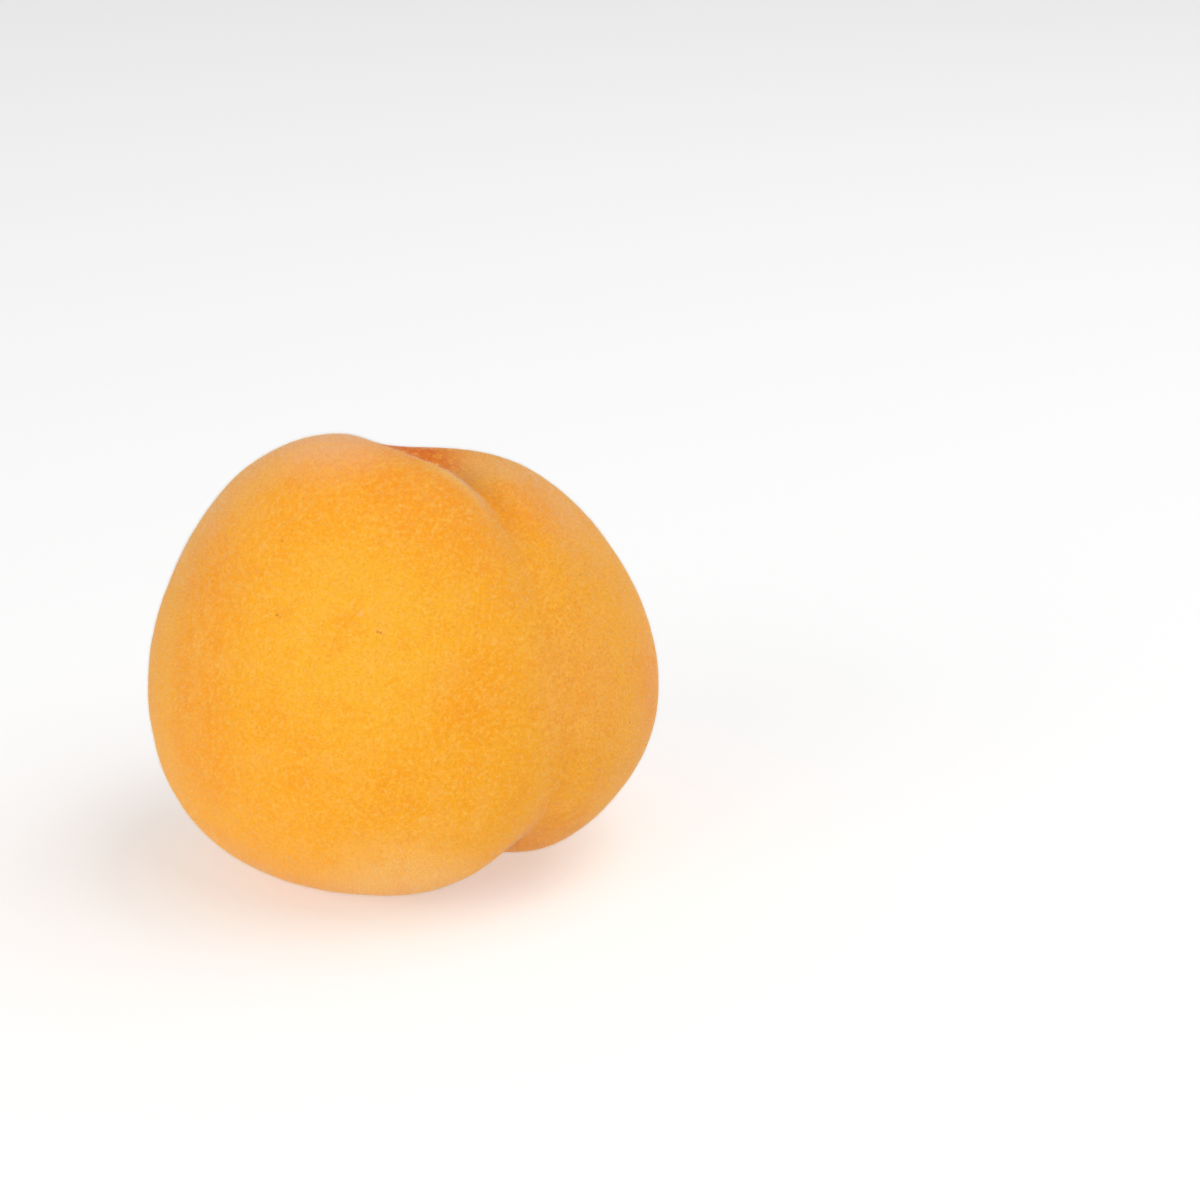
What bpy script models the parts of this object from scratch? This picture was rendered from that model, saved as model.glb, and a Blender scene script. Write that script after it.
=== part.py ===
"""A ripe peach, grown as one piece.

The fruit is drawn in its own frame first: +Z runs from the blossom end to the stem, the
suture (the crease down one side) faces -Y, and the two cheeks lie to -X and +X.  Its skin is
a ball whose radius follows a rule: two unequal halves, a stem cavity, a crease, a hollow
blossom end and a few broad swellings.  The ball is then leaned over the way the lopsided
fruit stands by itself, trimmed to small flat spots underneath and set on the ground.
"""

import math

import bmesh
import bpy
from mathutils import Euler, Matrix, Vector

# ---- Driving dimensions, in metres and degrees ------------------------------------------

# How far the skin lies from the fruit's centre, before hollows and swellings.
LEFT_CHEEK = 0.0365
RIGHT_CHEEK = 0.0386
FRONT_DEPTH = 0.0360
BACK_DEPTH = 0.0374
LEFT_CROWN = 0.0383
RIGHT_CROWN = 0.0268
LEFT_KEEL = 0.0382
RIGHT_KEEL = 0.0286

# The crown falls and the keel drops a little from front to back.
CROWN_FALL_TO_BACK = 0.0101
KEEL_DROP_TO_BACK = 0.0027

# The fruit narrows toward the stem by this share of its width.
STEM_TAPER = 0.16
# How softly one side's sizes pass into the other's, as a share of the radius.
SIDE_SOFTNESS = 0.5
WAIST_SOFTNESS = 0.25

# Stem cavity, the scar of the stalk in it, and the hollow at the blossom end.
CAVITY_DEPTH = 0.0066
CAVITY_REACH = 13.4
STEM_SCAR_DEPTH = 0.0009
STEM_SCAR_REACH = 5.5
STEM_SCAR_STEEPNESS = 4
BLOSSOM_HOLLOW_DEPTH = 0.0041
BLOSSOM_HOLLOW_REACH = 22.0
BLOSSOM_POINT_HEIGHT = 0.0012
BLOSSOM_POINT_REACH = 3.5

# The suture: a valley with a narrow crease in it.  Each has an even depth and is deeper
# near its two ends: extra depth, angle along the suture from the stem, span.  The valley is
# narrow by the stem and opens toward the blossom end.
VALLEY_DEPTH = 0.0003
VALLEY_AT_STEM = (0.0020, 15.0, 26.0)
VALLEY_AT_BLOSSOM = (0.0045, 142.0, 28.0)
VALLEY_REACH_AT_STEM = 6.0
VALLEY_REACH_AT_BLOSSOM = 9.5
CREASE_DEPTH = 0.0002
CREASE_AT_STEM = (0.0009, 20.0, 25.0)
CREASE_AT_BLOSSOM = (0.0015, 142.0, 28.0)
CREASE_REACH = 5.0
CREASE_ROUNDING = 1.5
# The suture starts just behind the stem and fades out just behind the blossom end.
SUTURE_START = -10.0
SUTURE_START_FADE = 6.0
SUTURE_END = 205.0
SUTURE_END_FADE = 10.0

# Broad swellings: height, compass angle from the suture, angle above the waist, reach.
# A negative height is a broad, shallow hollow.
LEFT_SHOULDER = (0.0063, -98.4, 46.8, 30.0)
RIGHT_SHOULDER = (0.0040, 114.9, 56.5, 30.0)
LEFT_HIP = (-0.0017, -35.2, -58.8, 32.0)
RIGHT_HEEL = (0.0029, 87.5, -67.3, 22.0)
SWELLINGS = (LEFT_SHOULDER, RIGHT_SHOULDER, LEFT_HIP, RIGHT_HEEL)

# How the fruit stands: it leans forward and toward its smaller half.
LEAN_FORWARD = 8.7
LEAN_RIGHT = 2.8
# How far the weight presses the skin flat where it touches the ground.
FLAT_DEPTH = 0.0006
CUT_TOLERANCE = 0.000001

# Mesh: rings lie parallel to the suture and crowd toward it; spokes crowd at both ends.
RINGS = 44
SPOKES = 76
RING_CROWDING = 0.55
SPOKE_CROWDING = 0.40

# Skin colour (linear light) and finish.
SKIN_COLOUR = (0.95, 0.42, 0.055, 1.0)
SKIN_ROUGHNESS = 0.62
SKIN_METALLIC = 0.0


# ---- Helpers ----------------------------------------------------------------------------

def clear_scene():
    """Remove every object that the file opened with."""
    for item in list(bpy.data.objects):
        bpy.data.objects.remove(item, do_unlink=True)


def bell(distance, reach):
    """1 at no distance, falling smoothly to about a third at the reach."""
    return math.exp(-(distance / reach) ** 2)


def share_of_positive(offset, softness):
    """0 well on the negative side, 1 well on the positive side, smooth between."""
    return 0.5 + 0.5 * offset / math.hypot(offset, softness)


def blend(first, second, share):
    """The value this share of the way from first to second."""
    return first + (second - first) * share


def angle_between(first, second):
    """Angle in degrees between two unit vectors."""
    cosine = max(-1.0, min(1.0, first.dot(second)))
    return math.degrees(math.acos(cosine))


def compass(turn, height):
    """Unit vector at a turn from the suture (-Y) toward +X, and a height over the waist."""
    turn = math.radians(turn)
    height = math.radians(height)
    level = math.cos(height)
    return Vector((math.sin(turn) * level, -math.cos(turn) * level, math.sin(height)))


# ---- The rule that gives the skin -------------------------------------------------------

def body_radius(way):
    """Radius of the plain two-sided body, along the unit vector way."""
    right = share_of_positive(way.x, SIDE_SOFTNESS)
    back = share_of_positive(way.y, SIDE_SOFTNESS)
    upper = share_of_positive(way.z, WAIST_SOFTNESS)
    half_width = blend(LEFT_CHEEK, RIGHT_CHEEK, right)
    half_depth = blend(FRONT_DEPTH, BACK_DEPTH, back)
    crown = blend(LEFT_CROWN, RIGHT_CROWN, right) - (back - 0.5) * CROWN_FALL_TO_BACK
    keel = blend(LEFT_KEEL, RIGHT_KEEL, right) + (back - 0.5) * KEEL_DROP_TO_BACK
    half_height = blend(keel, crown, upper)
    level = math.hypot(way.x / half_width, way.y / half_depth) * (1.0 + STEM_TAPER * way.z)
    return 1.0 / math.hypot(level, way.z / half_height)


def stem_hollow(way):
    """Depth of the stem cavity and of the stalk's scar at its floor."""
    from_stem = angle_between(way, Vector((0.0, 0.0, 1.0)))
    scar = math.exp(-(from_stem / STEM_SCAR_REACH) ** STEM_SCAR_STEEPNESS)
    return CAVITY_DEPTH * bell(from_stem, CAVITY_REACH) + STEM_SCAR_DEPTH * scar


def blossom_hollow(way):
    """Depth of the hollow blossom end, less the little point left by the flower."""
    from_tip = angle_between(way, Vector((0.0, 0.0, -1.0)))
    hollow = BLOSSOM_HOLLOW_DEPTH * bell(from_tip, BLOSSOM_HOLLOW_REACH)
    return hollow - BLOSSOM_POINT_HEIGHT * bell(from_tip, BLOSSOM_POINT_REACH)


def deepened(even_depth, ends, along):
    """Depth at an angle along the suture, with the extra depth that its ends have."""
    return even_depth + sum(extra * bell(along - place, span) for extra, place, span in ends)


def valley_reach(along):
    """Half-width of the suture's valley at an angle along it."""
    down = 0.5 - 0.5 * math.cos(math.radians(max(0.0, min(180.0, along))))
    return blend(VALLEY_REACH_AT_STEM, VALLEY_REACH_AT_BLOSSOM, down)


def suture_depth(way):
    """Depth of the suture: 0 along is the stem, 90 the front, 180 the blossom end."""
    along = math.degrees(math.atan2(-way.y, way.z))
    if along < -90.0:
        along += 360.0
    across = math.degrees(math.asin(min(1.0, abs(way.x))))
    present = 1.0 / (1.0 + math.exp((SUTURE_START - along) / SUTURE_START_FADE))
    present /= 1.0 + math.exp((along - SUTURE_END) / SUTURE_END_FADE)
    valley = deepened(VALLEY_DEPTH, (VALLEY_AT_STEM, VALLEY_AT_BLOSSOM), along)
    crease = deepened(CREASE_DEPTH, (CREASE_AT_STEM, CREASE_AT_BLOSSOM), along)
    from_line = math.hypot(across, CREASE_ROUNDING) - CREASE_ROUNDING
    crease *= math.exp(-from_line / CREASE_REACH)
    return present * (valley * bell(across, valley_reach(along)) + crease)


def skin_radius(way):
    """Distance from the fruit's centre to its skin, along the unit vector way."""
    radius = body_radius(way) - stem_hollow(way) - blossom_hollow(way) - suture_depth(way)
    for swell, turn, height, reach in SWELLINGS:
        radius += swell * bell(angle_between(way, compass(turn, height)), reach)
    return radius


# ---- Building the solid -----------------------------------------------------------------

def crowd_toward_suture(way):
    """Slide a unit vector of an even ball so that rings and spokes crowd where it matters."""
    ring = math.acos(max(-1.0, min(1.0, way.x)))
    spoke = math.atan2(-way.y, way.z)
    ring += 0.5 * RING_CROWDING * math.sin(2.0 * ring)
    spoke -= 0.5 * SPOKE_CROWDING * math.sin(2.0 * spoke)
    level = math.sin(ring)
    return Vector((math.cos(ring), -math.sin(spoke) * level, math.cos(spoke) * level))


def make_body():
    """Ball with its poles on the cheeks, every vertex moved out to the skin."""
    body = bmesh.new()
    bmesh.ops.create_uvsphere(body, u_segments=SPOKES, v_segments=RINGS, radius=1.0)
    bmesh.ops.rotate(body, verts=body.verts, matrix=Matrix.Rotation(math.pi / 2, 3, "Y"))
    for vertex in body.verts:
        way = crowd_toward_suture(vertex.co.normalized())
        vertex.co = way * skin_radius(way)
    return body


def lean_over(body):
    """Turn the upright fruit to the way that it stands by itself."""
    lean = Euler((math.radians(LEAN_FORWARD), math.radians(LEAN_RIGHT), 0.0), "XYZ")
    bmesh.ops.rotate(body, verts=body.verts, matrix=lean.to_matrix())


def set_on_ground(body):
    """Trim the flat spots and put the box's bottom centre at the origin."""
    sides = [vertex.co.x for vertex in body.verts]
    depths = [vertex.co.y for vertex in body.verts]
    ground = min(vertex.co.z for vertex in body.verts) + FLAT_DEPTH
    middle_x = 0.5 * (min(sides) + max(sides))
    middle_y = 0.5 * (min(depths) + max(depths))
    bmesh.ops.translate(body, verts=body.verts, vec=(-middle_x, -middle_y, -ground))
    everything = body.verts[:] + body.edges[:] + body.faces[:]
    bmesh.ops.bisect_plane(
        body, geom=everything, dist=CUT_TOLERANCE, plane_co=(0.0, 0.0, 0.0),
        plane_no=(0.0, 0.0, -1.0), clear_outer=True)
    open_edges = [edge for edge in body.edges if edge.is_boundary]
    bmesh.ops.holes_fill(body, edges=open_edges)
    bmesh.ops.recalc_face_normals(body, faces=body.faces)


def make_skin_material():
    """Warm yellow-orange skin, soft and dull from its down."""
    material = bpy.data.materials.new("peach_skin")
    material.use_nodes = True
    shader = material.node_tree.nodes["Principled BSDF"]
    shader.inputs["Base Color"].default_value = SKIN_COLOUR
    shader.inputs["Roughness"].default_value = SKIN_ROUGHNESS
    shader.inputs["Metallic"].default_value = SKIN_METALLIC
    return material


def make_peach():
    """The whole fruit as one closed solid, shaded smooth."""
    body = make_body()
    lean_over(body)
    set_on_ground(body)
    mesh = bpy.data.meshes.new("peach")
    body.to_mesh(mesh)
    body.free()
    mesh.shade_smooth()
    mesh.materials.append(make_skin_material())
    peach = bpy.data.objects.new("peach", mesh)
    bpy.context.scene.collection.objects.link(peach)
    return peach


clear_scene()
make_peach()
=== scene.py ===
# %% [markdown]
# # A ripe peach
# The frame holds the fruit as one plain solid: its true size, its two unequal halves, the
# stem cavity, the suture and the small flats that it stands on. This lesson dresses that solid.
# It makes a finer skin with the unevenness of a grown thing, the dry scar where the stalk
# came off, the dead tip of the flower, and the down that makes a peach look like velvet.

# %% Load the frame
import math
import random

import bpy
from mathutils import Euler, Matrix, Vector


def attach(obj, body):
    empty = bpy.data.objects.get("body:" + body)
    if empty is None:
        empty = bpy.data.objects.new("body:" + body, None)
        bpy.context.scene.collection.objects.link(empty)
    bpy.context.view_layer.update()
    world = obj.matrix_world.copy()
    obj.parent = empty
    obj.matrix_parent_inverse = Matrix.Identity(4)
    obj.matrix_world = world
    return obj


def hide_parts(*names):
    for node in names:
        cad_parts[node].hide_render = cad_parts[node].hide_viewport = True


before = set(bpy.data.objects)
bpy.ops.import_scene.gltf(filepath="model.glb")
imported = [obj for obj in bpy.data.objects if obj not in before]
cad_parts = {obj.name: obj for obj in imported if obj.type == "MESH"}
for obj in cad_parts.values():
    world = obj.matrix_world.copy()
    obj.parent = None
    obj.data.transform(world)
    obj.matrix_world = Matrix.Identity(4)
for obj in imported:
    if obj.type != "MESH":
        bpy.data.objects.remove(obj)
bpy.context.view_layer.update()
MM = 0.001

# %% [markdown]
# ## The fruit's own axes
# A peach is built round its stem: the stalk enters at the top, the flower sat at the bottom,
# and the suture runs down the front between them. This fruit is lopsided and leans a little
# forward and to its right, so its stem axis isn't quite upright. Most marks on the skin follow
# the stem or the suture, so it pays to name these axes once and measure everything from them.

# %% Heart, stem and suture
HEART = Vector((-0.00054, -0.00158, 0.03055))
LEAN = Euler((math.radians(8.7), math.radians(2.8), 0.0), "XYZ")
STEM_WAY = LEAN.to_matrix() @ Vector((0.0, 0.0, 1.0))
FRONT_WAY = LEAN.to_matrix() @ Vector((0.0, -1.0, 0.0))

print("stem leans", round(math.degrees(STEM_WAY.angle(Vector((0, 0, 1)))), 1), "degrees")

# %% [markdown]
# ## A few habits
# Operators act on whatever is selected, and a loaded frame arrives selected, so each step
# starts by choosing one object and nothing else. The helpers below do that, and they keep
# the later cells short enough to read.

# %% Choosing an object, and applying what shapes it
def choose(piece):
    """Make this object the only one selected, and the active one."""
    bpy.ops.object.select_all(action="DESELECT")
    piece.select_set(True)
    bpy.context.view_layer.objects.active = piece


def edit_all(piece):
    """Open this object's mesh with everything on it selected."""
    choose(piece)
    bpy.ops.object.mode_set(mode="EDIT")
    bpy.ops.mesh.select_all(action="SELECT")


def close_edit():
    """Leave the mesh, back to working with whole objects."""
    bpy.ops.object.mode_set(mode="OBJECT")


def apply_all(piece):
    """Turn every modifier on this object into mesh, from the top down."""
    choose(piece)
    for modifier in list(piece.modifiers):
        bpy.ops.object.modifier_apply(modifier=modifier.name)


def triangles(piece):
    """How many triangles this object's mesh makes."""
    return sum(len(face.vertices) - 2 for face in piece.data.polygons)


def set_down(piece, place, way):
    """Turn a piece's +Z to this way, move it to this place, and keep both in its mesh."""
    piece.rotation_euler = way.to_track_quat("Z", "Y").to_euler()
    piece.location = place
    choose(piece)
    bpy.ops.object.transform_apply(location=True, rotation=True, scale=True)


# %% [markdown]
# ## The skin
# The solid is faceted, so its copy is first turned into clean quads: the loose triangles are
# merged and paired. Two rounds of Subdivision Surface then melt the facets into one smooth
# surface. A sculpted ball would do as well, but this way the skin keeps the exact form that
# the rest of the model was built to.

# %% Copy the solid and round it off
MERGE_DISTANCE = 0.00001
QUAD_ANGLE = math.radians(60)
SUBDIVISIONS = 2


def smooth_copy(node, name):
    """A merged, subdivided copy of a node's mesh, as a new object."""
    piece = bpy.data.objects.new(name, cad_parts[node].data.copy())
    bpy.context.scene.collection.objects.link(piece)
    edit_all(piece)
    bpy.ops.mesh.remove_doubles(threshold=MERGE_DISTANCE)
    bpy.ops.mesh.tris_convert_to_quads(face_threshold=QUAD_ANGLE, shape_threshold=QUAD_ANGLE)
    bpy.ops.mesh.normals_make_consistent(inside=False)
    close_edit()
    rounding = piece.modifiers.new("rounding", "SUBSURF")
    rounding.levels = SUBDIVISIONS
    rounding.render_levels = SUBDIVISIONS
    apply_all(piece)
    bpy.ops.object.shade_smooth()
    return piece


skin = smooth_copy("peach", "peach_skin")
print("skin:", triangles(skin), "triangles")

# %% [markdown]
# ## Grown, not turned
# No fruit is perfectly smooth. Its flesh swells unevenly, which leaves soft dents a
# centimetre across and smaller ripples between them, a few hundredths of a millimetre deep.
# Displace modifiers with a cloud texture do this. Their strength is set in metres, and they
# follow the piece's own coordinates, so the dents stay where they are however it is turned.

# %% Soft dents and ripples
DENT_SIZE = 0.013
DENT_DEPTH = 0.00030
RIPPLE_SIZE = 0.0042
RIPPLE_DEPTH = 0.00007


def add_clouds(piece, name, size, depth):
    """Push the surface in and out by up to half this depth, in clouds of this size."""
    clouds = bpy.data.textures.new(name, "CLOUDS")
    clouds.noise_scale = size
    clouds.noise_depth = 1
    push = piece.modifiers.new(name, "DISPLACE")
    push.texture = clouds
    push.texture_coords = "LOCAL"
    push.strength = depth
    push.mid_level = 0.5


add_clouds(skin, "dents", DENT_SIZE, DENT_DEPTH)
add_clouds(skin, "ripples", RIPPLE_SIZE, RIPPLE_DEPTH)
apply_all(skin)
print("dents and ripples, mm deep:", DENT_DEPTH / MM, RIPPLE_DEPTH / MM)

# %% [markdown]
# The fruit still has to stand flat, so whatever the ripples pushed below the ground is
# pressed back up to it, as the fruit's own weight would do.

# %% Press the underside flat
def press_flat(piece):
    """Bring every vertex that is under the ground up to it."""
    low = 0
    for vertex in piece.data.vertices:
        if vertex.co.z < 0.0:
            vertex.co.z = 0.0
            low += 1
    return low


print("pressed flat:", press_flat(skin), "vertices")
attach(skin, "root")
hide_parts("peach")

# %% [markdown]
# ## Small dry parts
# Two things on a peach aren't skin. The floor of the cavity keeps the scar of the stalk: a
# ragged woody ring with torn fibres. The blossom end keeps the dead, twisted tip of the flower.
# Both stand on the stem axis, so their places are found by looking along that axis from
# outside and seeing where it meets the skin.

# %% Find both ends of the stem axis on the skin
LOOK_FROM = 0.060


def where_it_meets(piece, start, way):
    """Where a line from start along way first meets this piece."""
    bpy.context.view_layer.update()
    _, place, _, _ = piece.ray_cast(start, way)
    return place


scar_place = where_it_meets(skin, HEART + STEM_WAY * LOOK_FROM, -STEM_WAY)
tip_place = where_it_meets(skin, HEART - STEM_WAY * LOOK_FROM, STEM_WAY)
print("scar, mm:", [round(c / MM, 1) for c in scar_place])
print("blossom tip, mm:", [round(c / MM, 1) for c in tip_place])

# %% [markdown]
# Both small parts are made the same way. Plain shapes, joined where there are several, are
# rounded off by a Subdivision Surface and then roughened by clouds, which takes away every
# trace of what they began as.

# %% Joining and roughening
def joined(name, *pieces):
    """Several objects made into one, under a new name."""
    bpy.ops.object.select_all(action="DESELECT")
    for piece in pieces:
        piece.select_set(True)
    bpy.context.view_layer.objects.active = pieces[0]
    bpy.ops.object.join()
    pieces[0].name = name
    bpy.ops.object.transform_apply(location=True, rotation=True, scale=True)
    return pieces[0]


def roughened(piece, rounds, size, depth):
    """Round a piece off, roughen it with clouds, and apply both."""
    rounding = piece.modifiers.new("rounding", "SUBSURF")
    rounding.levels = rounds
    rounding.render_levels = rounds
    add_clouds(piece, piece.name + "_clouds", size, depth)
    apply_all(piece)
    bpy.ops.object.shade_smooth()


# %% [markdown]
# The ring starts as a thin cylinder. Its top face is inset and pushed down in steps, which
# leaves a rim, a trench and a knot in the middle. Insetting keeps one closed mesh, which
# stacked rings wouldn't.

# %% The scar's ring
SCAR_RADIUS = 0.0024
SCAR_THICKNESS = 0.0020
SCAR_SIDES = 36
TRENCH_DEPTH = 0.0005
SCAR_STEPS = ((0.0004, 0.0), (0.0003, -TRENCH_DEPTH), (0.0006, 0.0), (0.0003, 0.0003))


def select_top_face(piece):
    """Open the mesh with only its highest face selected."""
    choose(piece)
    bpy.ops.object.mode_set(mode="EDIT")
    bpy.ops.mesh.select_mode(type="FACE")
    bpy.ops.mesh.select_all(action="DESELECT")
    bpy.ops.object.mode_set(mode="OBJECT")
    max(piece.data.polygons, key=lambda face: face.center.z).select = True
    bpy.ops.object.mode_set(mode="EDIT")


def make_ring():
    """The rim, trench and knot, as one closed mesh round the origin."""
    bpy.ops.mesh.primitive_cylinder_add(
        vertices=SCAR_SIDES, radius=SCAR_RADIUS, depth=SCAR_THICKNESS)
    ring = bpy.context.object
    select_top_face(ring)
    for inward, push in SCAR_STEPS:
        bpy.ops.mesh.inset(thickness=inward, depth=push)
    close_edit()
    return ring


ring = make_ring()
print("ring:", triangles(ring), "triangles")

# %% [markdown]
# The torn fibres are thin cones set in the trench at random. Their draw has a seed of its own,
# so that the same fibres stand there each time. The cavity narrows like a funnel, so the
# finished scar is lifted to where the funnel is as wide as the ring.

# %% Fibres, and the whole scar
FIBRES = 22
FIBRE_RADIUS = 0.00017
FIBRE_TAPER = 0.3
FIBRE_LENGTHS = (0.0006, 0.0013)
FIBRE_RISE = 0.35
FIBRE_TILT = 0.5
FIBRES_FROM, FIBRES_TO = 0.15, 0.85
SCAR_GRAIN = 0.0006
SCAR_GRAIN_DEPTH = 0.0003
SCAR_LIFT = 0.0011
TORN = random.Random(4)


def make_fibre():
    """One torn fibre somewhere on the ring, leaning its own way."""
    out = TORN.uniform(FIBRES_FROM, FIBRES_TO) * SCAR_RADIUS
    turn = TORN.uniform(0.0, 2.0 * math.pi)
    length = TORN.uniform(*FIBRE_LENGTHS)
    middle = SCAR_THICKNESS / 2.0 - TRENCH_DEPTH + FIBRE_RISE * length
    bpy.ops.mesh.primitive_cone_add(
        vertices=6, radius1=FIBRE_RADIUS, radius2=FIBRE_TAPER * FIBRE_RADIUS, depth=length,
        location=(out * math.cos(turn), out * math.sin(turn), middle),
        rotation=(TORN.uniform(-FIBRE_TILT, FIBRE_TILT),
                  TORN.uniform(-FIBRE_TILT, FIBRE_TILT), turn))
    return bpy.context.object


scar = joined("stem_scar", ring, *[make_fibre() for _ in range(FIBRES)])
roughened(scar, 2, SCAR_GRAIN, SCAR_GRAIN_DEPTH)
set_down(scar, scar_place + STEM_WAY * SCAR_LIFT, STEM_WAY)
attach(scar, "root")
print("stem_scar:", triangles(scar), "triangles")

# %% [markdown]
# The dead tip is a small withered spike: a cone with a few rings, thinned and thickened by
# clouds, leaned a little to one side, and sunk into the point of the blossom end.

# %% Blossom tip
TIP_RADIUS = 0.0007
TIP_LENGTH = 0.0020
TIP_TAPER = 0.25
TIP_RISE = 0.25
TIP_LEAN = 0.3
TIP_GRAIN = 0.0005
TIP_GRAIN_DEPTH = 0.0005


def make_tip():
    """A withered spike along +Z, wider at its root."""
    bpy.ops.mesh.primitive_cone_add(
        vertices=10, radius1=TIP_RADIUS, radius2=TIP_TAPER * TIP_RADIUS, depth=TIP_LENGTH,
        location=(0.0, 0.0, TIP_RISE * TIP_LENGTH))
    bpy.ops.object.transform_apply(location=True)
    bpy.context.object.name = "blossom_tip"
    return bpy.context.object


tip = make_tip()
edit_all(tip)
bpy.ops.mesh.subdivide(number_cuts=2)
close_edit()
roughened(tip, 1, TIP_GRAIN, TIP_GRAIN_DEPTH)
set_down(tip, tip_place, -(STEM_WAY + TIP_LEAN * FRONT_WAY))
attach(tip, "root")
print("blossom_tip:", triangles(tip), "triangles")

# %% [markdown]
# ## Building finishes from nodes
# A finish here is a small tree of nodes, and so is the tree that will scatter the down.
# Written out one by one such trees get long, so a few short helpers add a node and wire it in
# one go. Each takes either a number or the output of another node, and gives back its own
# output, so that they chain like ordinary sums.

# %% Node helpers
def wire(tree, value, socket):
    """Feed a socket from another node's output, or set it to a plain value."""
    if isinstance(value, bpy.types.NodeSocket):
        tree.links.new(value, socket)
    else:
        socket.default_value = value


def maths(tree, operation, first, second=0.0, third=0.0):
    """One Math node."""
    node = tree.nodes.new("ShaderNodeMath")
    node.operation = operation
    for socket, value in zip(node.inputs, (first, second, third)):
        wire(tree, value, socket)
    return node.outputs[0]


def spread(tree, value, low, high, at_low=0.0, at_high=1.0):
    """Ease smoothly from one value to another as the input goes from low to high."""
    node = tree.nodes.new("ShaderNodeMapRange")
    node.interpolation_type = "SMOOTHSTEP"
    for socket, given in zip(node.inputs, (value, low, high, at_low, at_high)):
        wire(tree, given, socket)
    return node.outputs[0]


def noise(tree, place, size, detail=2.0, roughness=0.5, stretch=(1.0, 1.0, 1.0)):
    """Cloudy noise whose lumps are about this many millimetres across."""
    node = tree.nodes.new("ShaderNodeTexNoise")
    if stretch != (1.0, 1.0, 1.0):
        place = vector_maths(tree, "MULTIPLY", place, stretch)
    wire(tree, place, node.inputs["Vector"])
    wire(tree, 1.0 / size, node.inputs["Scale"])
    wire(tree, detail, node.inputs["Detail"])
    wire(tree, roughness, node.inputs["Roughness"])
    return node.outputs["Fac"]


def vector_maths(tree, operation, first, second):
    """One Vector Math node. A dot product or a distance comes out as a number."""
    node = tree.nodes.new("ShaderNodeVectorMath")
    node.operation = operation
    wire(tree, first, node.inputs[0])
    wire(tree, second, node.inputs[1])
    return node.outputs["Value" if operation in ("DOT_PRODUCT", "DISTANCE") else "Vector"]


def mixed(tree, share, first, second):
    """The first colour, going over to the second as the share rises to 1."""
    node = tree.nodes.new("ShaderNodeMix")
    node.data_type = "RGBA"
    wire(tree, share, node.inputs["Factor"])
    colour_inputs = [socket for socket in node.inputs if socket.type == "RGBA"]
    for socket, colour in zip(colour_inputs, (first, second)):
        if not isinstance(colour, bpy.types.NodeSocket):
            colour = (*colour, 1.0)
        wire(tree, colour, socket)
    return next(socket for socket in node.outputs if socket.type == "RGBA")


# %% [markdown]
# A part of a tree that serves twice is worth keeping as a group. A group is built once, with
# named sockets at both ends, and then placed like any other node. Materials begin the same way
# each time too, with a Principled shader whose plain values are set straight on its sockets.

# %% Groups and materials
def new_group(name, inputs, outputs):
    """An empty shader group with these sockets, and the nodes at its two ends."""
    tree = bpy.data.node_groups.new(name, "ShaderNodeTree")
    for in_out, sockets in (("INPUT", inputs), ("OUTPUT", outputs)):
        for label, kind in sockets.items():
            tree.interface.new_socket(label, in_out=in_out, socket_type="NodeSocket" + kind)
    return tree, tree.nodes.new("NodeGroupInput"), tree.nodes.new("NodeGroupOutput")


def use_group(tree, group, **values):
    """Place a group, set or wire its inputs, and give back its outputs."""
    node = tree.nodes.new("ShaderNodeGroup")
    node.node_tree = group
    for label, value in values.items():
        wire(tree, value, node.inputs[label])
    return node.outputs


def new_finish(name, **constants):
    """A material with a Principled shader, whose constant values are set on its sockets."""
    material = bpy.data.materials.new(name)
    material.use_nodes = True
    shader = material.node_tree.nodes["Principled BSDF"]
    for label, value in constants.items():
        shader.inputs[label.replace("_", " ")].default_value = value
    return material, material.node_tree, shader


# %% [markdown]
# ## Down
# Down is what makes a peach a peach: a coat of fine hairs, a third of a millimetre long, about a
# dozen on each square millimetre. Seen straight on they hardly show. Along the edge of the fruit
# the eye looks through many of them at once, and they add up to a pale bloom.
#
# One hair is modelled, a three-sided spike of four faces, because there will be a great many.

# %% Model one hair
HAIR_LENGTH = 0.00046
HAIR_WIDTH = 0.000015
HAIR_SUNK = 0.00005


def make_hair():
    """A slim three-sided spike along +Z, its root under the origin."""
    bpy.ops.object.select_all(action="DESELECT")
    bpy.ops.mesh.primitive_cone_add(
        vertices=3, radius1=HAIR_WIDTH / 2.0, radius2=0.0, depth=HAIR_LENGTH,
        location=(0.0, 0.0, HAIR_LENGTH / 2.0 - HAIR_SUNK))
    bpy.ops.object.transform_apply(location=True)
    bpy.ops.object.shade_smooth()
    return bpy.context.object


print("one hair, mm:", HAIR_LENGTH / MM, "long and", HAIR_WIDTH / MM, "wide")

# %% [markdown]
# Geometry Nodes scatters the hair over the skin: points at random on the faces, a hair on each,
# turned to stand on the surface and leaned its own way, and all of it made real mesh at the
# end. Down grows in faint clumps, so clouds decide how thickly the points fall. Hair curves
# would be lighter, but real mesh goes wherever the model goes.

# %% A tree of nodes that scatters it
HAIR_LEAN = math.radians(28)
HAIR_SIZES = (0.45, 1.15)
CLUMP_SIZE = 0.0011
CLUMP_EDGES = (0.42, 0.58)
CLUMP_DENSITIES = (0.4, 1.6)


def random_value(tree, kind, low, high, seed):
    """A random number or vector for each point, between low and high."""
    node = tree.nodes.new("FunctionNodeRandomValue")
    node.data_type = kind
    sockets = [socket for socket in node.inputs if socket.enabled]
    sockets[0].default_value = low
    sockets[1].default_value = high
    node.inputs["Seed"].default_value = seed
    return next(socket for socket in node.outputs if socket.enabled)


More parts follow.
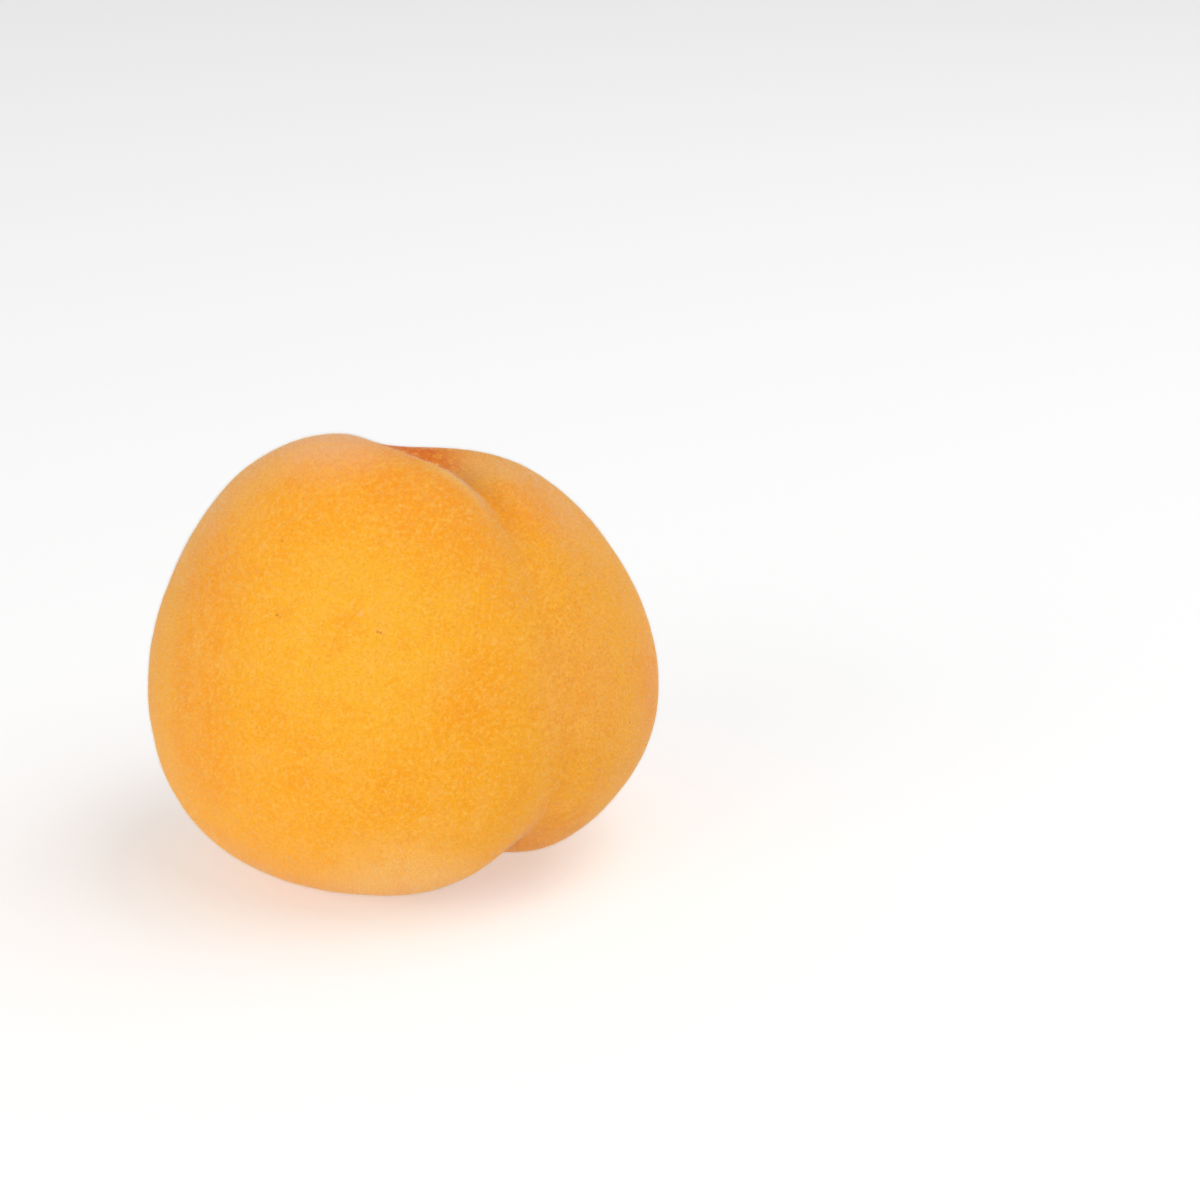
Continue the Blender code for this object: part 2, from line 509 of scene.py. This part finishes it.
def scatter_tree(hair, per_area, seed):
    """Geometry Nodes that swap a mesh for copies of hair that stand all over it."""
    tree = bpy.data.node_groups.new("scatter", "GeometryNodeTree")
    tree.interface.new_socket("Surface", in_out="INPUT", socket_type="NodeSocketGeometry")
    tree.interface.new_socket("Hairs", in_out="OUTPUT", socket_type="NodeSocketGeometry")
    nodes, link = tree.nodes, tree.links.new
    starts, ends = nodes.new("NodeGroupInput"), nodes.new("NodeGroupOutput")
    clumps = nodes.new("ShaderNodeTexNoise")
    clumps.inputs["Scale"].default_value = 1.0 / CLUMP_SIZE
    link(nodes.new("GeometryNodeInputPosition").outputs[0], clumps.inputs["Vector"])
    thickness = spread(tree, clumps.outputs["Fac"], *CLUMP_EDGES, *CLUMP_DENSITIES)
    points = nodes.new("GeometryNodeDistributePointsOnFaces")
    points.inputs["Seed"].default_value = seed
    link(starts.outputs[0], points.inputs["Mesh"])
    link(maths(tree, "MULTIPLY", thickness, per_area), points.inputs["Density"])

    lean = nodes.new("FunctionNodeRotateRotation")
    lean.rotation_space = "LOCAL"
    link(points.outputs["Rotation"], lean.inputs["Rotation"])
    link(random_value(tree, "FLOAT_VECTOR", (-HAIR_LEAN, -HAIR_LEAN, 0.0),
                      (HAIR_LEAN, HAIR_LEAN, 2.0 * math.pi), seed), lean.inputs["Rotate By"])

    stand = nodes.new("GeometryNodeInstanceOnPoints")
    source = nodes.new("GeometryNodeObjectInfo")
    source.inputs["Object"].default_value = hair
    link(points.outputs["Points"], stand.inputs["Points"])
    link(source.outputs["Geometry"], stand.inputs["Instance"])
    link(lean.outputs[0], stand.inputs["Rotation"])
    link(random_value(tree, "FLOAT", *HAIR_SIZES, seed + 1), stand.inputs["Scale"])
    real = nodes.new("GeometryNodeRealizeInstances")
    link(stand.outputs[0], real.inputs[0])
    link(real.outputs[0], ends.inputs[0])
    return tree


# %% [markdown]
# Hairs need ground to grow on. It is a copy of the skin without the faces that stay bare: those
# that the fruit rests on, where the down is rubbed off, and those deep in the cavity. Painted
# weights would do this too, but a rule on the place of each face needs no painting.

# %% The ground that down grows on
BARE_UNDER = 0.0012
BARE_ROUND_STEM = 0.0095


def grows_down(spot):
    """Whether the skin carries hairs here: not where it rests, nor deep in the cavity."""
    out = spot - HEART
    from_axis = (out - STEM_WAY * out.dot(STEM_WAY)).length
    in_cavity = from_axis < BARE_ROUND_STEM and out.dot(STEM_WAY) > 0.0
    return spot.z > BARE_UNDER and not in_cavity


def downy_ground(low=0.0, high=1.0):
    """A copy of the skin between two heights, without its bare places."""
    ground = bpy.data.objects.new("downy_ground", skin.data.copy())
    bpy.context.scene.collection.objects.link(ground)
    edit_all(ground)
    bpy.ops.mesh.select_mode(type="FACE")
    bpy.ops.mesh.select_all(action="DESELECT")
    close_edit()
    for face in ground.data.polygons:
        face.select = not (low < face.center.z < high and grows_down(face.center))
    bpy.ops.object.mode_set(mode="EDIT")
    bpy.ops.mesh.delete(type="FACE")
    close_edit()
    return ground


# %% [markdown]
# Over two hundred thousand hairs in one mesh would be slow to edit, so they are grown in
# coats. Five of them, each with its own seed, cover the whole fruit but for its bare places.
# Two smaller coats thicken the down where nothing rubbed it off: on the crown and round the foot.

# %% Grow the coats of down
COATS = 5
HAIRS_A_COAT = 33500
CROWN_HAIRS = 30000
CROWN_FROM = 0.046
FOOT_HAIRS = 20000
FOOT_TO = 0.012


def grow_coat(name, ground, hair, hairs, seed):
    """A coat of this many hairs over a piece of ground, which it takes the place of."""
    area = sum(face.area for face in ground.data.polygons)
    ground.name = name
    grow = ground.modifiers.new("grow", "NODES")
    grow.node_group = scatter_tree(hair, hairs / area, seed)
    apply_all(ground)
    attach(ground, "root")
    print(name + ":", round(hairs / area * MM * MM, 1), "hairs a mm2,", triangles(ground), "triangles")
    return ground


hair = make_hair()
coats = [grow_coat("down_" + str(number), downy_ground(), hair, HAIRS_A_COAT, 10 * number)
         for number in range(1, COATS + 1)]
coats.append(grow_coat("down_crown", downy_ground(low=CROWN_FROM), hair, CROWN_HAIRS, 70))
coats.append(grow_coat("down_foot", downy_ground(high=FOOT_TO), hair, FOOT_HAIRS, 80))
bpy.data.objects.remove(hair)
print("down in all:", sum(triangles(coat) for coat in coats), "triangles")

# %% [markdown]
# ## Where on the fruit am I?
# The colour changes over the fruit. It is deepest in the cavity and warm along the suture, which is
# painted shade, and yellower on the lit face of the larger half, partly a painted highlight. One
# group answers where a point is, in millimetres along the fruit's own axes, and how near it is to
# the stem and the suture. Each finish that asks gets the same answer, so marks on neighbouring
# pieces line up.

# %% A group for places on the fruit
STEM_REACH = (3.0, 9.0)
STEM_SIDE = (5.0, 12.0)
SUTURE_REACH = (0.4, 4.5)
SUTURE_SIDE = (-2.0, 6.0)


def make_fruit_places():
    """Millimetres from the heart along the fruit's axes, and masks for stem and suture."""
    tree, _, ends = new_group(
        "fruit_places", {}, {"Place": "Vector", "Stem": "Float", "Suture": "Float"})
    coordinates = tree.nodes.new("ShaderNodeTexCoord")
    upright = tree.nodes.new("ShaderNodeMapping")
    upright.vector_type = "TEXTURE"
    wire(tree, coordinates.outputs["Object"], upright.inputs["Vector"])
    wire(tree, HEART, upright.inputs["Location"])
    wire(tree, LEAN, upright.inputs["Rotation"])
    wire(tree, (MM, MM, MM), upright.inputs["Scale"])
    place = upright.outputs["Vector"]
    axes = tree.nodes.new("ShaderNodeSeparateXYZ")
    wire(tree, place, axes.inputs[0])
    across, depth, height = axes.outputs
    from_stem = maths(tree, "SQRT", maths(
        tree, "ADD", maths(tree, "MULTIPLY", across, across), maths(tree, "MULTIPLY", depth, depth)))
    near_stem = maths(
        tree, "MULTIPLY", spread(tree, from_stem, *STEM_REACH, 1.0, 0.0),
        spread(tree, height, *STEM_SIDE))
    near_suture = maths(
        tree, "MULTIPLY", spread(tree, maths(tree, "ABSOLUTE", across), *SUTURE_REACH, 1.0, 0.0),
        spread(tree, depth, *SUTURE_SIDE, 1.0, 0.0))
    wire(tree, place, ends.inputs["Place"])
    wire(tree, near_stem, ends.inputs["Stem"])
    wire(tree, near_suture, ends.inputs["Suture"])
    return tree


FRUIT_PLACES = make_fruit_places()
print("fruit_places:", len(FRUIT_PLACES.nodes), "nodes")

# %% [markdown]
# Spots come from a Voronoi pattern: one centre in each cell, a random number for each cell
# to decide whether it carries a spot, and a soft edge at the wanted radius. One group makes
# both the pale lumps and the brown specks, with other sizes.

# %% A group for spots
SPOT_SIZES = (0.6, 1.3)
SPOT_CORE = 0.35


def make_spots():
    """Scattered round spots: 1 inside a spot, 0 outside, soft at the edge."""
    tree, starts, ends = new_group(
        "spots",
        {"Place": "Vector", "Spacing": "Float", "Radius": "Float", "Share": "Float"},
        {"Mask": "Float"})
    cells = tree.nodes.new("ShaderNodeTexVoronoi")
    cells.feature = "F1"
    wire(tree, starts.outputs["Place"], cells.inputs["Vector"])
    wire(tree, maths(tree, "DIVIDE", 1.0, starts.outputs["Spacing"]), cells.inputs["Scale"])
    chance = tree.nodes.new("ShaderNodeSeparateColor")
    wire(tree, cells.outputs["Color"], chance.inputs[0])
    away = maths(tree, "MULTIPLY", cells.outputs["Distance"], starts.outputs["Spacing"])
    size = maths(tree, "MULTIPLY", starts.outputs["Radius"],
                 spread(tree, chance.outputs[1], 0.0, 1.0, *SPOT_SIZES))
    inside = spread(tree, away, maths(tree, "MULTIPLY", size, SPOT_CORE), size, 1.0, 0.0)
    chosen = maths(tree, "LESS_THAN", chance.outputs[0], starts.outputs["Share"])
    wire(tree, maths(tree, "MULTIPLY", inside, chosen), ends.inputs["Mask"])
    return tree


SPOTS = make_spots()
print("spots:", len(SPOTS.nodes), "nodes")

# %% [markdown]
# ## Skin colour
# Ripe yellow flesh shows through a thin skin, under a felt of down. The ground colour is one
# orange. Over it lie some two dozen soft patches, each with a place on the fruit, a reach, a
# colour and how strong it is: yellower on the lit face of the larger half, partly a painted
# highlight; riper round the stem and down the sides; a painted pale sheen of the down along the
# crown, the ridge, the groove and the foot; painted light in the shaded valley beside the cavity;
# and painted shade on the cavity wall and in the notch at the foot. A slow noise is added to
# every distance, so that no patch has a round edge.

# %% Colours, and where the patches lie
GROUND = (0.95, 0.395, 0.009)
# yellow tone, which on the lit face of the larger half is partly a painted highlight
YELLOW_TONE_AND_HIGHLIGHT = (0.96, 0.465, 0.022)
RIPER = (0.93, 0.310, 0.003)
# painted sheen of the down, and painted light in the valley; also the colour of the two scuffs
PAINTED_SHEEN_AND_SCUFF = (0.93, 0.460, 0.270)
# painted light: a pale highlight on the ridge, a paler shaded valley and a pale sheen of the down
# round the foot
PAINTED_PALE_LIGHT = (0.95, 0.510, 0.120)
# the deeper orange of the fine net, and painted shade in the notch at the foot
DEEP_NET_AND_NOTCH_SHADE = (0.78, 0.270, 0.003)
# painted shade: the deep orange of the cavity and the suture crease, where they lie in shadow
PAINTED_HOLLOW_SHADE = (0.70, 0.085, 0.001)
PATCHES = (
    # partly a painted highlight: yellower where the lamps fall most on the larger half, over its own
    # yellow tone
    ((-26.0, -20.0, 16.0), 21.0, YELLOW_TONE_AND_HIGHLIGHT, 0.80),
    ((-10.0, -10.0, 34.0), 18.0, RIPER, 0.85),
    ((-8.0, -20.0, 28.0), 9.0, RIPER, 0.35),
    ((-25.0, -4.0, 30.0), 11.0, RIPER, 0.40),
    ((-34.0, 4.0, 17.0), 12.0, RIPER, 0.70),
    ((-37.5, 2.0, 4.0), 11.0, RIPER, 0.60),
    ((-37.5, -1.0, -7.0), 12.0, RIPER, 0.60),
    ((-13.5, -31.0, 10.0), 9.5, RIPER, 0.40),
    ((24.0, -27.0, 2.0), 12.0, RIPER, 0.90),
    ((18.0, 26.0, 4.0), 22.0, RIPER, 0.55),
    ((-12.0, 33.0, -8.0), 15.0, RIPER, 0.45),
    ((22.0, 22.0, 18.0), 13.0, YELLOW_TONE_AND_HIGHLIGHT, 0.50),
    # painted sheen: the pale glow of the down along the crown, where it is seen at a glancing angle
    ((-16.0, 4.0, 37.0), 15.0, PAINTED_SHEEN_AND_SCUFF, 0.58),
    ((-29.0, 9.0, 27.0), 12.0, PAINTED_SHEEN_AND_SCUFF, 0.20),
    # painted light: the shaded valley beside the cavity made paler, with a painted pale sheen of the
    # down
    ((6.0, 0.0, 29.5), 8.0, PAINTED_SHEEN_AND_SCUFF, 0.40),
    ((12.0, -12.0, 29.0), 13.0, PAINTED_SHEEN_AND_SCUFF, 0.30),
    # painted sheen: a faint pale glow of the down in the suture groove
    ((4.0, -31.0, 8.0), 14.0, PAINTED_SHEEN_AND_SCUFF, 0.12),
    # painted highlight: a pale line along the ridge of the larger half beside the cavity
    ((-7.0, -9.5, 34.6), 2.8, PAINTED_PALE_LIGHT, 0.45),
    ((-5.0, -12.3, 33.6), 2.8, PAINTED_PALE_LIGHT, 0.60),
    ((-3.6, -14.8, 32.0), 2.8, PAINTED_PALE_LIGHT, 0.45),
    ((5.5, -15.0, 29.0), 9.5, RIPER, 0.60),
    # painted light: the shaded valley just in front of the cavity made paler
    ((4.0, -4.5, 29.5), 8.0, PAINTED_PALE_LIGHT, 0.55),
    # painted sheen: the pale glow of the down round the foot, lit from the floor
    ((-17.0, -26.0, -23.0), 16.0, PAINTED_PALE_LIGHT, 0.95),
    # painted shade: deep orange on the cavity wall, where it lies in shadow
    ((2.5, 8.0, 28.5), 10.0, PAINTED_HOLLOW_SHADE, 1.0),
    # painted shade: darker orange in the notch at the foot, where the two halves meet
    ((4.0, -28.5, -17.5), 12.0, DEEP_NET_AND_NOTCH_SHADE, 0.90),
)
print(len(PATCHES), "patches of colour")

# %% [markdown]
# Each patch is a distance from its middle, eased from full strength to nothing at its reach, and
# mixed over what is under it. The painted shade in the cavity and along the suture is laid last,
# because it cuts through every patch.

# %% Lay the patches
PATCH_CORE = 0.25
PATCH_WANDER = 5.0
WANDER_SIZE = 8.0
# how strong the painted shade is round the stem and along the suture
STEM_SHADE_SHARE = 0.35
SUTURE_SHADE_SHARE = 0.08


def patched(tree, colour, place, wander):
    """Lay every patch over a colour, each strongest at its middle and gone at its reach."""
    for middle, reach, tint, share in PATCHES:
        away = maths(tree, "ADD", vector_maths(tree, "DISTANCE", place, middle), wander)
        colour = mixed(tree, spread(tree, away, PATCH_CORE * reach, reach, share, 0.0), colour, tint)
    return colour


def broad_colour(tree, where):
    """The drift of colour over the whole fruit, without its grain, with painted shade in the cavity
    and along the suture.
    """
    wander = maths(tree, "MULTIPLY_ADD", noise(tree, where["Place"], WANDER_SIZE, 3.0),
                   PATCH_WANDER, -0.5 * PATCH_WANDER)
    colour = patched(tree, GROUND, where["Place"], wander)
    # painted shade: deeper orange round the stem, down in the cavity
    colour = mixed(tree, maths(tree, "MULTIPLY", where["Stem"], STEM_SHADE_SHARE), colour, PAINTED_HOLLOW_SHADE)
    # painted shade: deeper orange along the suture crease
    near_suture = maths(tree, "MULTIPLY", where["Suture"], SUTURE_SHADE_SHARE)
    return mixed(tree, near_suture, colour, PAINTED_HOLLOW_SHADE)


# %% [markdown]
# ## Skin grain
# Seen close, the skin is a fine net. Pale lumps half a millimetre across stand in a deeper
# orange, they thin out and crowd together in drifts, and a few brown specks are strewn among
# them. Clouds of three sizes make the drifts, the felt and the net, and spots make the lumps
# and the rare specks. Each is eased in between two strengths of its pattern, as four numbers:
# from, to, and its share at both. The net is stronger on the smaller half, which is riper.

# %% Grain
DRIFT_SIZE = 5.0
DRIFT_RIPER = (0.32, 0.50, 0.40, 0.0)
DRIFT_PALER = (0.50, 0.68, 0.0, 0.40)
FELT_PALER = (0.45, 0.70, 0.0, 0.60)
NET_SIZE = 0.40
NET_DEEPER = (0.33, 0.58, 1.0, 0.0)
NET_SHARES = (0.34, 0.62)
NET_TURN = (-8.0, 6.0)
LUMPS = {"Spacing": 0.62, "Radius": 0.34, "Share": 0.7}
LUMP_STRENGTH = 0.20
SPECKS = {"Spacing": 11.0, "Radius": 0.2, "Share": 0.4}
SPECK_STRENGTH = 0.6
PALER = (0.97, 0.455, 0.070)
PALE_FLECK = (0.98, 0.52, 0.080)
BROWN_SPECK = (0.30, 0.10, 0.02)


def grained(tree, colour, place, felt):
    """Add drifts, lumps, net and specks to a colour."""
    drift = noise(tree, place, DRIFT_SIZE, 6.0, 0.65)
    colour = mixed(tree, spread(tree, drift, *DRIFT_RIPER), colour, RIPER)
    colour = mixed(tree, spread(tree, drift, *DRIFT_PALER), colour, PALER)
    colour = mixed(tree, spread(tree, felt, *FELT_PALER), colour, PALE_FLECK)
    lumps = use_group(tree, SPOTS, Place=place, **LUMPS)["Mask"]
    colour = mixed(tree, maths(tree, "MULTIPLY", lumps, LUMP_STRENGTH), colour, PALE_FLECK)
    net = spread(tree, noise(tree, place, NET_SIZE, 2.0, 0.7), *NET_DEEPER)
    across = vector_maths(tree, "DOT_PRODUCT", place, (1.0, 0.0, 0.0))
    coarse = spread(tree, across, *NET_TURN, *NET_SHARES)
    colour = mixed(tree, maths(tree, "MULTIPLY", net, coarse), colour, DEEP_NET_AND_NOTCH_SHADE)
    specks = use_group(tree, SPOTS, Place=place, **SPECKS)["Mask"]
    return mixed(tree, maths(tree, "MULTIPLY", specks, SPECK_STRENGTH), colour, BROWN_SPECK)


# %% [markdown]
# No pattern makes the marks that a fruit gets from growing outdoors. A short scratch, two scuffs
# and a few single specks are listed one by one, each with its place, its reach in millimetres,
# a colour and how strong it is.

# %% Small marks
SCRATCH_RED = (0.66, 0.16, 0.04)
MARKS = (
    ((-24.0, -20.6, 17.3), 0.45, PALE_FLECK, 0.50),
    ((-23.6, -21.1, 17.1), 0.28, SCRATCH_RED, 0.70),
    ((-23.3, -21.4, 17.0), 0.28, SCRATCH_RED, 0.80),
    ((-24.9, -18.7, 19.0), 0.50, PAINTED_SHEEN_AND_SCUFF, 0.35),
    ((11.9, -33.1, 4.5), 0.45, PAINTED_SHEEN_AND_SCUFF, 0.45),
    ((-30.0, -6.2, 25.6), 0.24, BROWN_SPECK, 0.60),
    ((-32.3, -9.8, 16.4), 0.26, BROWN_SPECK, 0.60),
    ((9.7, -23.9, 21.1), 0.26, BROWN_SPECK, 0.70),
    ((15.0, -32.9, 0.9), 0.26, BROWN_SPECK, 0.80),
)
MARK_CORE = 0.3


def marked(tree, colour, place):
    """Add the marks that are listed one by one."""
    for middle, reach, tint, share in MARKS:
        away = vector_maths(tree, "DISTANCE", place, middle)
        colour = mixed(tree, spread(tree, away, MARK_CORE * reach, reach, share, 0.0), colour, tint)
    return colour


print(len(MARKS), "marks listed one by one")

# %% [markdown]
# The shader itself is simple. The down scatters light at a glancing angle, which a little
# sheen stands for between the real hairs. Light that enters the flesh comes out again nearby,
# which is the subsurface share. A fine bump gives the felt its strokes of light and shade.

# %% Velvet skin
FELT_SIZE = 0.7
RELIEF_SIZE = 0.45
RELIEF_STRENGTH = 0.8
RELIEF_DEPTH = 0.00032


def make_skin_finish():
    """Yellow-orange skin, mottled and velvety."""
    material, tree, shader = new_finish(
        "velvet_skin", Metallic=0.0, Sheen_Weight=0.12, Sheen_Roughness=0.45,
        Sheen_Tint=(1.0, 0.86, 0.78, 1.0), Specular_IOR_Level=0.15,
        Subsurface_Weight=0.10, Subsurface_Radius=(1.0, 0.35, 0.08), Subsurface_Scale=0.0025)
    where = use_group(tree, FRUIT_PLACES)
    felt = noise(tree, where["Place"], FELT_SIZE, 3.0, 0.65)
    colour = grained(tree, broad_colour(tree, where), where["Place"], felt)
    wire(tree, marked(tree, colour, where["Place"]), shader.inputs["Base Color"])
    wire(tree, spread(tree, felt, 0.3, 0.7, 0.55, 0.72), shader.inputs["Roughness"])
    relief = tree.nodes.new("ShaderNodeBump")
    relief.inputs["Strength"].default_value = RELIEF_STRENGTH
    relief.inputs["Distance"].default_value = RELIEF_DEPTH
    wire(tree, noise(tree, where["Place"], RELIEF_SIZE, 3.0, 0.6), relief.inputs["Height"])
    wire(tree, relief.outputs["Normal"], shader.inputs["Normal"])
    return material


def dress(piece, material):
    """Give a piece this material and no other."""
    piece.data.materials.clear()
    piece.data.materials.append(material)


skin_finish = make_skin_finish()
dress(skin, skin_finish)
print("velvet_skin:", len(skin_finish.node_tree.nodes), "nodes")

# %% [markdown]
# The dry parts are dull brown wood with a grain, darkest on the stem axis, where the pith was.
# The down is almost white: its hairs are clear and hollow, and their tint comes from what lies
# under them.

# %% Dry wood and down
WOOD_BROWN = (0.17, 0.070, 0.026)
WOOD_PALE = (0.44, 0.245, 0.100)
PITH_DARK = (0.055, 0.022, 0.010)
PITH_REACH = (0.5, 1.7)
PITH_SHARE = 0.8
WOOD_GRAIN_SIZE = 0.35
HAIR_PALE = (0.95, 0.91, 0.82)
HAIR_WARM = (0.95, 0.86, 0.66)
HAIR_PATCH_SIZE = 5.0


def make_wood_finish():
    """Dry brown wood, paler where it is torn."""
    material, tree, shader = new_finish("dry_wood", Metallic=0.0, Specular_IOR_Level=0.2)
    place = use_group(tree, FRUIT_PLACES)["Place"]
    grain = noise(tree, place, WOOD_GRAIN_SIZE, 4.0, 0.65, (1.0, 1.0, 0.3))
    wood = mixed(tree, spread(tree, grain, 0.35, 0.7), WOOD_BROWN, WOOD_PALE)
    beside_axis = vector_maths(tree, "MULTIPLY", place, (1.0, 1.0, 0.0))
    from_axis = vector_maths(tree, "DISTANCE", beside_axis, (0.0, 0.0, 0.0))
    pith = spread(tree, from_axis, *PITH_REACH, PITH_SHARE, 0.0)
    wire(tree, mixed(tree, pith, wood, PITH_DARK), shader.inputs["Base Color"])
    wire(tree, spread(tree, grain, 0.3, 0.7, 0.75, 0.9), shader.inputs["Roughness"])
    return material


def make_hair_finish():
    """Pale down, a little warmer in some patches than in others."""
    material, tree, shader = new_finish("pale_down", Metallic=0.0, Specular_IOR_Level=0.1)
    place = use_group(tree, FRUIT_PLACES)["Place"]
    patches = noise(tree, place, HAIR_PATCH_SIZE)
    warm = spread(tree, patches, 0.35, 0.65)
    wire(tree, mixed(tree, warm, HAIR_PALE, HAIR_WARM), shader.inputs["Base Color"])
    wire(tree, spread(tree, patches, 0.35, 0.65, 0.55, 0.75), shader.inputs["Roughness"])
    return material


wood_finish = make_wood_finish()
hair_finish = make_hair_finish()
dress(scar, wood_finish)
dress(tip, wood_finish)
for coat in coats:
    dress(coat, hair_finish)
print("finishes:", [material.name for material in (skin_finish, wood_finish, hair_finish)])

# %% [markdown]
# ## Camera
# The fruit is seen from its left front and a little from above, through a long lens, so that
# the suture lies toward the right and the large half faces the eye. The camera has no aim
# constraint: it stands off along one direction from the heart, moved sideways and up to leave
# room beside the fruit.

# %% Place the camera
VIEW_TURN = math.radians(-41.2)
VIEW_RISE = math.radians(18.0)
VIEW_DISTANCE = 0.470
VIEW_ASIDE = 0.0284
VIEW_ABOVE = 0.0083
LENS = 95.9

level = math.cos(VIEW_RISE)
back = Vector((math.sin(VIEW_TURN) * level, -math.cos(VIEW_TURN) * level, math.sin(VIEW_RISE)))
aside = Vector((math.cos(VIEW_TURN), math.sin(VIEW_TURN), 0.0))
above = back.cross(aside)

camera_data = bpy.data.cameras.new("eye")
camera_data.lens = LENS
camera_data.clip_start = 0.01
camera = bpy.data.objects.new("eye", camera_data)
camera.location = HEART + back * VIEW_DISTANCE + aside * VIEW_ASIDE + above * VIEW_ABOVE
camera.rotation_euler = back.to_track_quat("Z", "Y").to_euler()
bpy.context.scene.collection.objects.link(camera)
bpy.context.scene.camera = camera
print("camera at, mm:", [round(c / MM) for c in camera.location])

# %% [markdown]
# ## Floor
# The fruit stands on a plain pale floor. It could be a curved sweep of card, but one flat plane
# is enough from any height. It glows a little, so that it stays near white and lights the fruit
# from below, as a lit table does, and it is wide enough to keep its far edge out of sight.

# %% Floor
FLOOR_SIZE = 24.0
FLOOR_WHITE = (0.60, 0.60, 0.60, 1.0)
FLOOR_GLOW = 0.43
WHITE = (1.0, 1.0, 1.0, 1.0)

bpy.ops.object.select_all(action="DESELECT")
bpy.ops.mesh.primitive_plane_add(size=FLOOR_SIZE, location=(0.0, 0.0, 0.0))
floor = bpy.context.object
floor.name = "floor"
floor_finish, _, _ = new_finish(
    "pale_floor", Base_Color=FLOOR_WHITE, Roughness=0.9, Emission_Color=WHITE,
    Emission_Strength=FLOOR_GLOW)
dress(floor, floor_finish)
print("floor:", FLOOR_SIZE, "m a side")

# %% [markdown]
# ## Light
# An even white world lights the fruit from all round, as a soft tent does. Three wide lamps then
# give it form: a low one at the left makes the larger half the brightest, and two higher ones
# reach over the front and the right. All are wide enough to leave no hard shadow.

# %% World
ROOM_LIGHT = 0.42

world = bpy.data.worlds.new("white_room")
world.use_nodes = True
room = world.node_tree.nodes["Background"]
room.inputs["Color"].default_value = WHITE
room.inputs["Strength"].default_value = ROOM_LIGHT
bpy.context.scene.world = world
print("world:", ROOM_LIGHT)

# %% Lamps
LAMPS = (
    ("left", (-1.16, -0.20, 0.28), 1.0, 7.85),
    ("over_front", (0.10, -0.70, 1.01), 0.9, 4.7),
    ("over_right", (0.60, -0.22, 1.05), 0.9, 4.0),
)


def add_lamp(name, place, size, power):
    """A square soft lamp that faces the fruit."""
    lamp_data = bpy.data.lights.new(name, "AREA")
    lamp_data.shape = "SQUARE"
    lamp_data.size = size
    lamp_data.energy = power
    lamp = bpy.data.objects.new(name, lamp_data)
    lamp.location = place
    lamp.rotation_euler = (Vector(place) - HEART).to_track_quat("Z", "Y").to_euler()
    bpy.context.scene.collection.objects.link(lamp)


for name, place, size, power in LAMPS:
    add_lamp(name, place, size, power)
    print("lamp", name + ":", power, "W over", size, "m")
bpy.context.scene.view_settings.view_transform = "Standard"
